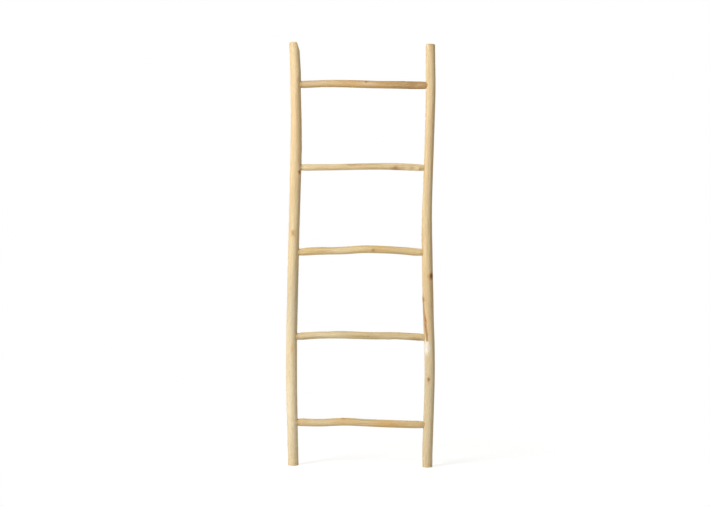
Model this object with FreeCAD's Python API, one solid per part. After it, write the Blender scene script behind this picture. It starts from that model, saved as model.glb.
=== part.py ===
"""A leaning blanket ladder made of peeled round branches.

Two upright rails carry five rungs. Both ends of each rung are whittled down to a round tenon, which
is glued into a blind mortise bored across the rail. A countersunk wood screw, driven from the wall
side through the crown of the rail, passes into each tenon and locks it.

Frame: millimetres, +X from the left rail to the right one, -Y the side that faces the room, +Y the
side that leans on the wall, +Z up along the rails. The feet stand on z = 0, either side of the origin.
"""

import FreeCAD, Part
import math
import os

from FreeCAD import Vector

# ---------------------------------------------------------------- driving dimensions, in millimetres

RAIL_LENGTH = 1500.0  # foot to tip
RAIL_SPACING = 480.0  # between the two straight lines that the rails wander about
RAIL_DIAMETER = 38.0  # of the thicker rail, over most of its length
TIP_EASE = 4.0  # radius sanded round the upper end of a rail
FOOT_EASE = 1.5  # radius sanded round the foot
PARING_LENGTH = 28.0  # of the flat pared on the inner side of the left rail's tip
PARING_DEPTH = 9.5  # of that flat at the tip, from the side where it starts

BOTTOM_RUNG_HEIGHT = 151.0  # of the lowest rung over the floor
TOP_RUNG_DROP = 147.0  # of the highest rung under the tips of the rails
RUNG_DIAMETER = 26.5  # of the four stout rungs
THIN_RUNG_DIAMETER = 23.0  # of the slim one, second from the top

TENON_DIAMETER = 24.0
THIN_TENON_DIAMETER = 21.0  # on the slim rung
TENON_DEPTH = 24.0  # how far a tenon goes in past the inner side of its rail
TENON_CHAMFER = 1.5  # on the leading edge of the tenon
GLUE_GAP = 0.1  # between the tenon and the wall of its mortise
GLUE_POCKET = 1.0  # between the end of the tenon and the floor of its mortise
SHOULDER_GAP = 0.1  # between the shoulder of a rung and the rail
SHOULDER_LIP = 0.4  # how far the shoulder stands out round the tenon
WHITTLE_LENGTH = 12.0  # over which a rung is whittled down to its shoulder

SCREW_LENGTH = 25.0  # head to point
SCREW_DIAMETER = 3.5
SCREW_POINT = 4.0  # length of the conical point
HEAD_DIAMETER = 7.0
HEAD_RIM = 0.5  # height of the straight rim over the countersunk cone
HEAD_SINK = 0.4  # depth of the head under the crown of the rail
RECESS_SPAN = 3.8  # across the arms of the cross recess
RECESS_WIDTH = 1.1
RECESS_DEPTH = 1.5
SCREW_CLEARANCE = 0.05  # round the screw, and past its point

RAIL_RING_SPACING = 25.0  # between the cross-sections that a rail is lofted through
RUNG_RING_SPACING = 16.0
NECK_RING_SPACING = 4.0  # where a rung is whittled down
WOUND_RING_SPACING = 8.0
POINTS_PER_RING = 16

# ---------------------------------------------------------------- how each branch grew

# Each station gives a share of the branch's length, the sideways and the rearward bend there in
# thousandths of that length, and the thickness as a share of the branch's diameter. A rail bends
# sideways along +X from its own straight line. A rung bends upwards from the straight line between
# its shoulders.
LEFT_RAIL = [
    (0.00, 3.7, 1.3, 0.97),
    (0.10, 0.5, 0.3, 0.98),
    (0.22, -2.7, -1.3, 1.03),
    (0.34, -3.3, -2.3, 1.04),
    (0.50, -1.5, -1.0, 1.04),
    (0.62, 0.1, 1.0, 1.02),
    (0.74, 1.3, 2.3, 1.05),
    (0.81, 1.1, 2.0, 1.00),
    (0.87, -0.8, 1.0, 0.97),
    (0.92, -1.5, 0.0, 0.99),
    (0.97, -4.2, -1.0, 0.95),
    (1.00, -6.4, -1.7, 0.91),
]
RIGHT_RAIL = [
    (0.00, 1.1, -1.3, 0.92),
    (0.04, 0.9, -1.0, 0.94),
    (0.12, 3.1, 0.0, 0.95),
    (0.22, 4.3, 1.7, 0.96),
    (0.29, 2.5, 2.3, 1.00),
    (0.35, -0.3, 2.0, 1.02),
    (0.43, -3.1, 0.3, 1.02),
    (0.53, -5.7, -1.7, 0.98),
    (0.60, -7.0, -2.3, 0.93),
    (0.67, -5.7, -1.7, 0.87),
    (0.80, -2.8, 0.3, 0.86),
    (0.89, -1.5, 1.7, 0.89),
    (1.00, -3.7, 0.7, 0.86),
]
TOP_RUNG = [
    (0.00, 0.0, 0.0, 0.97),
    (0.10, 5.0, 1.8, 0.95),
    (0.24, 9.9, 3.4, 0.98),
    (0.48, 6.1, -1.1, 1.03),
    (0.64, 2.5, -4.5, 0.98),
    (0.84, 0.7, -2.3, 1.01),
    (1.00, 0.0, 0.0, 1.00),
]
UPPER_RUNG = [
    (0.00, 0.0, 0.0, 0.98),
    (0.18, 2.5, -3.4, 0.96),
    (0.36, 4.6, -5.7, 1.00),
    (0.50, 9.2, -2.3, 1.00),
    (0.66, 11.4, 3.4, 1.02),
    (0.80, 8.2, 5.7, 1.06),
    (0.92, 3.7, 2.3, 1.03),
    (1.00, 0.0, 0.0, 1.03),
]
MIDDLE_RUNG = [
    (0.00, 0.0, 0.0, 1.00),
    (0.16, 9.9, 2.3, 1.03),
    (0.28, 10.3, 5.7, 0.99),
    (0.38, 13.8, 4.6, 1.04),
    (0.52, 23.4, -1.1, 1.04),
    (0.66, 21.6, -5.7, 1.00),
    (0.84, 11.5, -3.4, 0.99),
    (0.95, 1.8, 0.0, 1.00),
    (1.00, 0.0, 0.0, 0.99),
]
LOWER_RUNG = [
    (0.00, 0.0, 0.0, 0.99),
    (0.16, 11.7, -2.2, 0.94),
    (0.34, 16.1, -4.5, 1.01),
    (0.46, 13.2, -2.2, 1.01),
    (0.60, 10.1, 2.2, 0.98),
    (0.78, 10.8, 4.5, 0.95),
    (0.90, 5.8, 2.2, 0.94),
    (1.00, 0.0, 0.0, 0.97),
]
BOTTOM_RUNG = [
    (0.00, 0.0, 0.0, 1.02),
    (0.18, 0.2, 2.3, 1.00),
    (0.38, 10.4, 4.5, 1.05),
    (0.54, 6.8, 1.1, 1.00),
    (0.70, 3.2, -3.4, 1.00),
    (0.86, 1.1, -3.4, 0.97),
    (1.00, 0.0, 0.0, 0.97),
]

# The rungs from the floor up: name, growth, diameter, tenon diameter, and how far its left and right
# mortises were bored off the even height, in thousandths of the rail's length.
RUNGS = [
    ("bottom", BOTTOM_RUNG, RUNG_DIAMETER, TENON_DIAMETER, 1.0, -1.0),
    ("lower", LOWER_RUNG, RUNG_DIAMETER, TENON_DIAMETER, 3.7, 5.0),
    ("middle", MIDDLE_RUNG, RUNG_DIAMETER, TENON_DIAMETER, 3.0, 6.3),
    ("upper", UPPER_RUNG, THIN_RUNG_DIAMETER, THIN_TENON_DIAMETER, 3.0, 5.7),
    ("top", TOP_RUNG, RUNG_DIAMETER, TENON_DIAMETER, -1.0, 0.7),
]

# Knots, where a side shoot was pared off: share of the branch's length, angle round it in degrees,
# height and size as shares of its diameter. On a rail the angle runs from +X towards +Y, and on a
# rung from +Z towards -Y.
KNOTS = {
    "rail_left": [(0.30, 120, 0.04, 0.7), (0.549, -95, 0.03, 0.5), (0.693, -45, 0.05, 0.6), (0.90, 80, 0.05, 0.7)],
    "rail_right": [
        (0.207, -106, 0.03, 0.5),
        (0.395, -150, 0.035, 0.7),
        (0.452, -50, 0.06, 0.6),
        (0.541, 175, 0.04, 0.6),
        (0.76, 100, 0.04, 0.6),
    ],
    "rung_top": [(0.545, 75, 0.05, 0.7)],
    "rung_upper": [(0.785, 115, 0.07, 0.7)],
    "rung_middle": [(0.60, 85, 0.045, 0.6), (0.22, 230, 0.045, 0.55)],
    "rung_lower": [(0.72, 150, 0.05, 0.6)],
    "rung_bottom": [(0.37, 30, 0.05, 0.7)],
}

# A branch is never quite round: (lobes, share of the radius, turns along the branch).
LOBES = [(2, 0.020, 0.6), (3, 0.012, -0.9)]

# The healed wound where a shoot was torn off the right rail: share of the rail's length, angle round
# it, then half its width and its depth in millimetres. It runs out where its depth is under zero.
WOUND = [
    (0.296, -117, 2.2, -0.3),
    (0.302, -117, 2.3, 1.6),
    (0.314, -121, 2.8, 2.0),
    (0.327, -129, 3.6, 1.8),
    (0.345, -136, 4.2, 1.6),
    (0.366, -150, 3.8, 1.3),
    (0.385, -160, 3.0, 0.8),
    (0.403, -169, 2.4, -0.3),
]
WOUND_ROUNDNESS = 3.0  # half the height of its oval section


# ---------------------------------------------------------------- the shape of a branch


def between(stations, share, column):
    """A column of the stations at a share of the length, on a smooth curve through them."""
    last = len(stations) - 1
    i = max(k for k in range(last) if stations[k][0] <= share or k == 0)

    def slope(k):
        a, b = stations[max(k - 1, 0)], stations[min(k + 1, last)]
        return (b[column] - a[column]) / (b[0] - a[0])

    (u0, v0), (u1, v1) = ((stations[k][0], stations[k][column]) for k in (i, i + 1))
    span = u1 - u0
    t = (share - u0) / span
    return (
        (2 * t**3 - 3 * t**2 + 1) * v0
        + (t**3 - 2 * t**2 + t) * slope(i) * span
        + (3 * t**2 - 2 * t**3) * v1
        + (t**3 - t**2) * slope(i + 1) * span
    )


class Branch:
    """The peeled skin of a branch: its bends and its thickness anywhere along and around it."""

    def __init__(self, name, stations, length, diameter):
        self.stations = stations
        self.knots = KNOTS[name]
        self.length = length
        self.diameter = diameter

    def bends(self, share):
        """The sideways and the rearward bend."""
        return tuple(between(self.stations, share, column) * self.length / 1000 for column in (1, 2))

    def reach(self, share, angle):
        """Distance from the centre line to the skin."""
        radius = between(self.stations, share, 3) * self.diameter / 2
        lobes = sum(a * math.cos(n * (angle + 2 * math.pi * turns * share)) for n, a, turns in LOBES)
        return radius * (1 + lobes) + self.swelling(share, angle, radius)

    def swelling(self, share, angle, radius):
        """How far the knots lift the skin."""
        lift = 0.0
        for knot_share, knot_angle, height, size in self.knots:
            spread = size * self.diameter
            off_along = (share - knot_share) * self.length / spread
            turn = math.remainder(angle - math.radians(knot_angle), 2 * math.pi)
            off_round = turn * radius / (0.6 * spread)
            lift += height * self.diameter * math.exp(-2.5 * (off_along**2 + off_round**2))
        return lift


def even_shares(length, spacing):
    """Shares of the length at which the cross-sections of a loft lie, about one spacing apart."""
    steps = max(2, round(length / spacing))
    return [i / steps for i in range(steps + 1)]


def ring(centre, across, upwards, reach):
    """A closed smooth wire round the centre. reach gives its radius at an angle from across to upwards."""
    points = []
    for i in range(POINTS_PER_RING):
        angle = 2 * math.pi * i / POINTS_PER_RING
        arm = reach(angle)
        points.append(centre + across * (arm * math.cos(angle)) + upwards * (arm * math.sin(angle)))
    curve = Part.BSplineCurve()
    # One even spacing of knots for all rings, so that they loft to one plain surface.
    even = [i / POINTS_PER_RING for i in range(POINTS_PER_RING + 1)]
    curve.interpolate(Points=points, Parameters=even, PeriodicFlag=True)
    return Part.Wire(curve.toShape())


def cylinder(start, direction, length, radius):
    return Part.makeCylinder(radius, length, start, direction)


# ---------------------------------------------------------------- rails


class Rail:
    """An upright branch. side is -1 for the left rail and +1 for the right one."""

    def __init__(self, name, side, stations):
        self.name = name
        self.side = side
        self.branch = Branch(name, stations, RAIL_LENGTH, RAIL_DIAMETER)

    def centre(self, height):
        sideways, rearward = self.branch.bends(height / RAIL_LENGTH)
        return Vector(self.side * RAIL_SPACING / 2 + sideways, rearward, height)

    def reach(self, height, angle):
        return self.branch.reach(height / RAIL_LENGTH, angle)

    def inner_side(self, height, tenon_radius):
        """X of the side that faces the other rail, where it stands out most over a mortise's mouth."""
        facing = math.pi if self.side > 0 else 0.0
        at = [height + step * tenon_radius for step in (-1.0, -0.5, 0.0, 0.5, 1.0)]
        sides = [self.centre(z).x - self.side * self.reach(z, facing) for z in at]
        return min(sides) if self.side > 0 else max(sides)

    def crown(self, height):
        """The point of the wall side that lies straight behind the centre line."""
        return self.centre(height) + Vector(0, self.reach(height, math.pi / 2), 0)

    def blank(self):
        """The peeled branch, sawn square at both ends and sanded, before it is bored."""
        rings = []
        for share in even_shares(RAIL_LENGTH, RAIL_RING_SPACING):
            height = share * RAIL_LENGTH
            rings.append(
                ring(self.centre(height), Vector(1, 0, 0), Vector(0, 1, 0), lambda a: self.reach(height, a))
            )
        solid = Part.makeLoft(rings, True)
        for level, ease in ((0.0, FOOT_EASE), (RAIL_LENGTH, TIP_EASE)):
            rim = [e for e in solid.Edges if e.isClosed() and all(abs(v.Z - level) < 1e-3 for v in e.Vertexes)]
            solid = solid.makeFillet(ease, rim)
        return solid

    def pared_tip(self):
        """The wedge pared off the tip, on the side towards +X."""
        start = RAIL_LENGTH - PARING_LENGTH
        side = self.centre(start).x + self.reach(start, 0.0)
        clear = RAIL_DIAMETER
        outside, above = side + clear, RAIL_LENGTH + clear
        lean = PARING_DEPTH / PARING_LENGTH * (above - start)
        outline = [(side, start), (outside, start), (outside, above), (side - lean, above)]
        points = [Vector(x, -clear, z) for x, z in outline]
        return Part.Face(Part.makePolygon(points + points[:1])).extrude(Vector(0, 2 * clear, 0))

    def wound(self, stations):
        """The groove of a healed wound, as an oval drawn along the skin and sunk into it."""
        first, last = stations[0][0], stations[-1][0]
        rings = []
        for part in even_shares((last - first) * RAIL_LENGTH, WOUND_RING_SPACING):
            share = first + part * (last - first)
            turn, half_width, depth = (between(stations, share, column) for column in (1, 2, 3))
            angle = math.radians(turn)
            outwards = Vector(math.cos(angle), math.sin(angle), 0)
            around = Vector(-outwards.y, outwards.x, 0)
            height = share * RAIL_LENGTH
            middle = self.centre(height) + outwards * (self.reach(height, angle) + WOUND_ROUNDNESS - depth)

            def oval(a):
                return 1 / math.hypot(math.cos(a) / half_width, math.sin(a) / WOUND_ROUNDNESS)

            rings.append(ring(middle, around, outwards, oval))
        return Part.makeLoft(rings, True)


# ---------------------------------------------------------------- rungs


def even_height(i):
    """Height of the i-th rung from the floor, if all were evenly spaced."""
    top = RAIL_LENGTH - TOP_RUNG_DROP
    return BOTTOM_RUNG_HEIGHT + i * (top - BOTTOM_RUNG_HEIGHT) / (len(RUNGS) - 1)


class Rung:
    """A level branch between two rails, with its tenons, mortises and screw holes."""

    def __init__(self, i, rails):
        self.place, stations, diameter, tenon_diameter, *off_even = RUNGS[i]
        self.name = "rung_" + self.place
        self.rails = rails
        self.heights = [even_height(i) + off * RAIL_LENGTH / 1000 for off in off_even]
        self.tenon_radius = tenon_diameter / 2
        self.shoulders = [self.shoulder(rail, z) for rail, z in zip(rails, self.heights)]
        self.length = self.shoulders[1].x - self.shoulders[0].x
        self.branch = Branch(self.name, stations, self.length, diameter)

    def shoulder(self, rail, height):
        x = rail.inner_side(height, self.tenon_radius) - rail.side * SHOULDER_GAP
        return Vector(x, rail.centre(height).y, height)

    def body_ring(self, share):
        left, right = self.shoulders
        upward, rearward = self.branch.bends(share)
        centre = left + (right - left) * share + Vector(0, rearward, upward)
        lip = self.tenon_radius + SHOULDER_LIP
        from_end = min(share, 1 - share) * self.length
        fullness = math.sin(math.pi / 2 * min(1.0, from_end / WHITTLE_LENGTH))

        def reach(angle):
            return lip + (max(self.branch.reach(share, angle), lip) - lip) * fullness

        return ring(centre, Vector(0, 0, 1), Vector(0, -1, 0), reach)

    def loft(self, start, end, spacing):
        """The part of the body between two distances from the left shoulder."""
        shares = even_shares(end - start, spacing)
        return Part.makeLoft([self.body_ring((start + u * (end - start)) / self.length) for u in shares], True)

    def tenon(self, end):
        """The tenon, from inside the body of the rung to its chamfered leading edge."""
        outwards = Vector(self.rails[end].side, 0, 0)
        root = self.shoulders[end] - outwards * WHITTLE_LENGTH
        length = WHITTLE_LENGTH + SHOULDER_GAP + TENON_DEPTH
        solid = cylinder(root, outwards, length, self.tenon_radius)
        tip_x = (root + outwards * length).x
        tip = [e for e in solid.Edges if e.isClosed() and abs(e.CenterOfMass.x - tip_x) < 1e-6]
        return solid.makeChamfer(TENON_CHAMFER, tip)

    def mortise(self, end):
        """What is bored out of the rail for this tenon, with a run-in clear of the rail."""
        outwards = Vector(self.rails[end].side, 0, 0)
        run_in = TENON_DEPTH
        start = self.shoulders[end] - outwards * run_in
        length = run_in + SHOULDER_GAP + TENON_DEPTH + GLUE_POCKET
        return cylinder(start, outwards, length, self.tenon_radius + GLUE_GAP)

    def screw_head(self, end):
        """The middle of the screw's head, on the wall side of the rail."""
        return self.rails[end].crown(self.heights[end]) - Vector(0, HEAD_SINK, 0)

    def solid(self):
        left_neck = self.loft(0.0, WHITTLE_LENGTH, NECK_RING_SPACING)
        middle = self.loft(WHITTLE_LENGTH, self.length - WHITTLE_LENGTH, RUNG_RING_SPACING)
        right_neck = self.loft(self.length - WHITTLE_LENGTH, self.length, NECK_RING_SPACING)
        body = middle.fuse([left_neck, right_neck, self.tenon(0), self.tenon(1)]).removeSplitter()
        return body.cut([screw_hole(self.screw_head(end)) for end in (0, 1)])


# ---------------------------------------------------------------- screws

FORWARDS = Vector(0, -1, 0)  # the way a screw is driven, from the wall side


def screw_envelope(head, growth):
    """A countersunk screw without its recess, or the hole for it when growth is its clearance."""
    shank = SCREW_DIAMETER / 2 + growth
    rim = HEAD_DIAMETER / 2 + growth
    cone = (HEAD_DIAMETER - SCREW_DIAMETER) / 2
    profile = [
        (0.0, 0.0),
        (rim, 0.0),
        (rim, HEAD_RIM),
        (shank, HEAD_RIM + cone),
        (shank, SCREW_LENGTH - SCREW_POINT),
        (0.0, SCREW_LENGTH + growth),
    ]
    points = [head + FORWARDS * depth + Vector(radius, 0, 0) for radius, depth in profile]
    face = Part.Face(Part.makePolygon(points + points[:1]))
    return face.revolve(head, FORWARDS, 360)


def screw(head):
    """A cross-recessed countersunk wood screw. Its thread is left plain."""
    body = screw_envelope(head, 0.0)
    for span_x, span_z in ((RECESS_SPAN, RECESS_WIDTH), (RECESS_WIDTH, RECESS_SPAN)):
        corner = head - Vector(span_x / 2, RECESS_DEPTH, span_z / 2)
        body = body.cut(Part.makeBox(span_x, RECESS_DEPTH, span_z, corner))
    return body


def screw_hole(head):
    """The countersunk hole, open to the wall side."""
    opening = cylinder(head, -FORWARDS, HEAD_DIAMETER, HEAD_DIAMETER / 2 + SCREW_CLEARANCE)
    return screw_envelope(head, SCREW_CLEARANCE).fuse(opening)


# ---------------------------------------------------------------- assembly


def build():
    """Every piece of the ladder, by name."""
    rails = (Rail("rail_left", -1, LEFT_RAIL), Rail("rail_right", 1, RIGHT_RAIL))
    rungs = [Rung(i, rails) for i in range(len(RUNGS))]
    marks = (rails[0].pared_tip(), rails[1].wound(WOUND))
    pieces = {}
    for end, (rail, mark) in enumerate(zip(rails, marks)):
        bores = [rung.mortise(end) for rung in rungs]
        bores += [screw_hole(rung.screw_head(end)) for rung in rungs]
        pieces[rail.name] = rail.blank().cut([mark, *bores])
    for rung in rungs:
        pieces[rung.name] = rung.solid()
        for end, side in enumerate(("left", "right")):
            pieces[f"screw_{rung.place}_{side}"] = screw(rung.screw_head(end))
    return pieces


os.makedirs("parts", exist_ok=True)
for node, shape in build().items():
    solids = shape.Solids
    if len(solids) != 1 or not solids[0].isValid():
        raise ValueError(f"{node} is not one valid solid")
    solids[0].exportStep(f"parts/{node}.step")
    box = solids[0].BoundBox
    print(
        f"{node:22s} x {box.XMin:8.1f} {box.XMax:8.1f}  y {box.YMin:6.1f} {box.YMax:6.1f}"
        f"  z {box.ZMin:7.1f} {box.ZMax:7.1f}  {solids[0].Volume / 1000:7.1f} cm3"
    )
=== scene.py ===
"""The looks of a leaning blanket ladder made of peeled round branches.

Each branch of the frame is measured and gets a finer skin in its place: flutes and knife facets left
by the peeling, pared knots, a healed wound, sawn ends, and the bores for its tenons and screws. Its
wood is painted by nodes along the grain, which runs round the knots. Each screw gets a threaded
shank and a pressed cross recess. Lengths are in millimetres until a mesh is made.
"""

import math

import bpy
import numpy as np
from mathutils import Matrix, Vector
from mathutils.bvhtree import BVHTree


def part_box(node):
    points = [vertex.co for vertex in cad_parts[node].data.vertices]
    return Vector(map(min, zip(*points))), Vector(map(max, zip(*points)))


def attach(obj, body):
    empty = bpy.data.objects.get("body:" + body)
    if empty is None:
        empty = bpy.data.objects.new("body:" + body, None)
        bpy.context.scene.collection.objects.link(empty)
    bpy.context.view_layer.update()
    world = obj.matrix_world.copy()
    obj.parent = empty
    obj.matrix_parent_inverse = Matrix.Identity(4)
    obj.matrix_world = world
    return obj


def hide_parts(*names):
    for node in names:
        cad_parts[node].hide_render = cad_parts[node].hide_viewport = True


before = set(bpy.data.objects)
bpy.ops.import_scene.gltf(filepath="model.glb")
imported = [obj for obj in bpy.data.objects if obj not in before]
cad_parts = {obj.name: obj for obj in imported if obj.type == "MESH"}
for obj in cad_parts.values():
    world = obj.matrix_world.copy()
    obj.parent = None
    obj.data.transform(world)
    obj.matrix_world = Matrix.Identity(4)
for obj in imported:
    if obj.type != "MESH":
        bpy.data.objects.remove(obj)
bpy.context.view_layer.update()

MM = 0.001
TAU = 2 * math.pi
PLACES = ("bottom", "lower", "middle", "upper", "top")
SIDES = ("left", "right")

# ---- what the CAD doesn't tell

TIP_EASE = 4.0  # radius sanded round the upper end of a rail
FOOT_EASE = 1.5
TENON_CHAMFER = 1.5
GLUE_GAP = 0.1  # between a tenon and its mortise
GLUE_POCKET = 1.0  # past the end of the tenon
SCREW_CLEARANCE = 0.05

# Places on a branch are a height on a rail, or an x on a rung, and an angle. On a rail the angle runs
# from +X towards +Y, so the front is -90. On a rung it runs from the top to the front, at 90.

# Knots: place, angle, radius of the core, how dark the core is from 0 to 1.
KNOTS = {
    "rail_left": [(450, 120, 6.5, 0.7), (823, -100, 4.5, 0.0), (1040, -45, 4.0, 0.5), (1290, 100, 6.0, 0.6)],
    "rail_right": [
        (311, -106, 3.0, 0.6), (594, -152, 6.0, 0.3), (678, -50, 6.0, 1.0),
        (814, 178, 4.5, 0.6), (1140, 100, 5.5, 0.6),
    ],
    "rung_top": [(8, 55, 3.2, 0.15)],
    "rung_upper": [(117, 112, 3.6, 0.25)],
    "rung_middle": [(40, 105, 3.4, 0.05), (-126, 230, 3.5, 0.6)],
    "rung_lower": [(99, 190, 4.0, 0.5)],
    "rung_bottom": [(-57, 15, 4.5, 0.1)],
}

# Stains: tone, place, angle, half length, half width, strength. No half width is all the way round.
STAINS = {
    "rail_left": [
        ("peach", 1220, 0, 130, None, 0.8), ("green", 555, 0, 120, None, 0.8),
        ("pale", 200, 0, 230, None, 0.62), ("orange", 416, -80, 18, 5, 0.6),
        ("orange", 823, -100, 12, 9, 0.35), ("brown", 1368, -55, 10, 5, 0.5),
    ],
    "rail_right": [
        # the amber on the wound's right lip is its orange wood with a painted highlight on it
        ("orange", 585, 0, 130, None, 0.2), ("amber_lip_highlight", 503, -112, 34, 3.6, 1.2),
        ("chalk", 423, -132, 17, 12, 1.7), ("brown", 677, -66, 8, 6, 0.75),
        ("orange", 678, -78, 11, 6, 0.9), ("pale", 462, -106, 20, 4, 0.8),
        ("pale", 1350, -170, 18, 7, 0.9), ("peach", 1180, 0, 120, None, 0.4),
        ("green", 260, 0, 230, None, 0.75), ("brown", 814, 175, 16, 7, 0.5),
        ("brown", 594, -165, 20, 6, 0.5), ("red", 309, -106, 12, 4, 0.6),
    ],
    "rung_top": [
        ("brown", 165, 0, 75, None, 0.7), ("orange", 40, 90, 150, None, 0.6),
        ("pale", 18, 90, 26, 5, 1.3), ("pale", -150, 60, 60, 14, 0.35),
    ],
    "rung_upper": [
        ("red", -32, 60, 28, 4, 0.7), ("brown", 117, 135, 15, 7, 0.9),
        ("orange", 20, 140, 60, 10, 0.35),
    ],
    "rung_middle": [
        ("orange", -150, 100, 50, 14, 0.4), ("orange", 60, 80, 35, 9, 0.5),
        ("pale", -90, 90, 50, 16, 0.3),
    ],
    "rung_lower": [
        ("brown", 12, 100, 42, 4, 0.6), ("brown", -200, 150, 25, 7, 0.5),
        ("brown", 198, 145, 22, 7, 0.7), ("orange", 200, 110, 18, 6, 0.6),
        ("pale", -120, 70, 70, 18, 0.35), ("green", 120, 130, 60, 12, 0.4),
    ],
    "rung_bottom": [
        ("orange", 102, 85, 40, 9, 0.9), ("orange", -57, 60, 30, 9, 0.5),
        ("pale", -140, 60, 60, 16, 0.25),
    ],
}
STAIN_HOLDERS = ("stain", "tint", "glow")
# Tones, in the order they are laid on: the attribute that holds one, at which of its three numbers,
# its colour and its strength.
TONES = {
    "peach": ("tint", 2, (0.78, 0.53, 0.29), 0.5),
    "green": ("tint", 0, (0.63, 0.565, 0.41), 0.62),
    "pale": ("stain", 2, (0.86, 0.77, 0.58), 0.8),
    "orange": ("stain", 0, (0.68, 0.40, 0.145), 0.80),
    "red": ("tint", 1, (0.34, 0.120, 0.045), 0.7),
    "brown": ("stain", 1, (0.30, 0.15, 0.060), 0.65),
    # amber: orange wood, made brighter than the body as a painted highlight on the wound's lip
    "amber_lip_highlight": ("glow", 0, (0.92, 0.60, 0.28), 0.9),
    "chalk": ("glow", 1, (0.86, 0.81, 0.74), 0.85),
}

# The healed wound on the right rail, upwards: height, angle, half width, depth.
WOUND = np.array([
    (442, -117, 1.6, 0.0), (453, -117, 2.0, 1.7),
    (471, -121, 2.5, 2.1), (490, -129, 3.2, 1.9),
    (518, -136, 3.7, 1.6), (549, -150, 3.4, 1.3),
    (578, -160, 2.7, 0.8), (606, -169, 2.0, 0.0),
], float)

# The flat pared on the left rail's tip, on its inner side.
PARING_LENGTH, PARING_DEPTH = 28.0, 9.5

# ---- measuring the frame's branches

FAR = 60.0  # from the centre line, outside any branch
COARSE_ANGLES = 24


def full_turn(count):
    """count angles, evenly spaced all round."""
    return np.arange(count) * TAU / count


def corners(node):
    """A node's lowest and highest corners, in millimetres."""
    return [np.array(corner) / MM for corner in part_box(node)]


def smooth(x, known_x, known):
    """Values at x on a smooth curve through the known ones, level past their ends."""
    i = np.clip(np.searchsorted(known_x, x) - 1, 0, len(known_x) - 2)
    slopes = np.gradient(known, known_x, axis=0)
    span = known_x[i + 1] - known_x[i]
    t = np.clip((x - known_x[i]) / span, 0, 1)
    if known.ndim > 1:
        t, span = t[:, None], span[:, None]
    return (
        (2 * t**3 - 3 * t**2 + 1) * known[i]
        + (t**3 - 2 * t**2 + t) * slopes[i] * span
        + (3 * t**2 - 2 * t**3) * known[i + 1]
        + (t**3 - t**2) * slopes[i + 1] * span
    )


class Measured:
    """A CAD branch: where it lies, its centre line and the distances from that to its skin."""

    def __init__(self, node, axes):
        self.node = node
        self.axes = np.array(axes, float)  # along, then the two across that the angle turns between
        self.seam = math.atan2(*self.axes[2:0:-1] @ (0, 1, 0))  # the angle that faces the wall
        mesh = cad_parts[node].data
        points = [v.co / MM for v in mesh.vertices]
        self.tree = BVHTree.FromPolygons(points, [p.vertices for p in mesh.polygons])
        low, high = corners(node)
        self.start, self.end = (float(c @ self.axes[0]) for c in (low, high))

    def reach(self, s, centre, angle):
        """Distance from a point of the centre line to the outermost skin."""
        out = math.cos(angle) * self.axes[1] + math.sin(angle) * self.axes[2]
        foot = s * self.axes[0] + centre[0] * self.axes[1] + centre[1] * self.axes[2]
        hit = self.tree.ray_cast(Vector(foot + out * FAR), Vector(-out))
        return FAR - hit[3]

    def middle(self, s, guess):
        """The middle of the cross-section at s."""
        centre = np.array(guess, float)
        for _ in range(3):
            sides = [self.reach(s, centre, turn * math.pi / 2) for turn in range(4)]
            centre += ((sides[0] - sides[2]) / 2, (sides[1] - sides[3]) / 2)
        return centre

    def survey(self, stations, guess, scarred=lambda s, angle: False):
        """Takes the centre line and the skin at the stations, each starting from the one before.

        Where scarred, the skin is drawn across from either side instead.
        """
        angles = full_turn(COARSE_ANGLES)
        centres, reaches = [], []
        for s in stations:
            guess = self.middle(s, guess)
            centres.append(guess)
            sound = [a for a in angles if not scarred(s, a)]
            found = [self.reach(s, guess, a) for a in sound]
            reaches.append(np.interp(angles, sound, found, period=TAU))
        self.known = np.array(stations)
        self.centres = np.array(centres)
        self.reaches = np.array(reaches)

    def extend(self, s):
        """Carries the centre line and the skin straight on to s."""
        share = (s - self.known[-1]) / (self.known[-1] - self.known[-3])
        for name in ("centres", "reaches"):
            rows = getattr(self, name)
            setattr(self, name, np.vstack([rows, rows[-1] + share * (rows[-1] - rows[-3])]))
        self.known = np.append(self.known, s)

    def centre(self, s):
        return smooth(s, self.known, self.centres)

    def skin(self, s, count):
        """Distances at each s, for count angles all round."""
        coarse = smooth(s, self.known, self.reaches)
        waves = np.fft.rfft(coarse, axis=1)
        return np.fft.irfft(waves, n=count, axis=1) * count / COARSE_ANGLES

    def place(self, s, centre, angle, reach):
        """Points in the frame's own axes, in millimetres."""
        a = centre[..., 0] + reach * np.cos(angle)
        b = centre[..., 1] + reach * np.sin(angle)
        along, across, up = self.axes
        return s[..., None] * along + a[..., None] * across + b[..., None] * up

    def locate(self, points):
        """The s, angle and distance from the centre line of points in the frame's own axes."""
        s, a, b = (points @ axis for axis in self.axes)
        centre = self.centre(s)
        a, b = a - centre[:, 0], b - centre[:, 1]
        return s, np.arctan2(b, a), np.hypot(a, b)


# ---- the peeled surface


def eased(t):
    return t * t * t * (t * (6 * t - 15) + 10)


def noise(cells_along, turns, cells_around, seed):
    """Smooth noise from -1 to 1. cells_along isn't negative. It closes on itself round the branch."""
    rng = np.random.default_rng(seed)
    table = rng.uniform(-1, 1, (int(np.max(cells_along)) + 2, cells_around))
    u, v = np.broadcast_arrays(cells_along, (turns % 1.0) * cells_around)
    i, j = np.floor(u).astype(int), np.floor(v).astype(int)
    fu, fv = eased(u - i), eased(v - j)
    j, k = j % cells_around, (j + 1) % cells_around
    low = table[i, j] * (1 - fv) + table[i, k] * fv
    high = table[i + 1, j] * (1 - fv) + table[i + 1, k] * fv
    return low * (1 - fu) + high * fu


def wrapped(angle):
    """The same angle, from -pi to pi."""
    return (angle + math.pi) % TAU - math.pi


def turn_from(angle, degrees):
    """The signed turn from a mark's angle to angle, in radians."""
    return wrapped(angle - math.radians(degrees))


def bell(x):
    return np.exp(-x * x)


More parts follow.
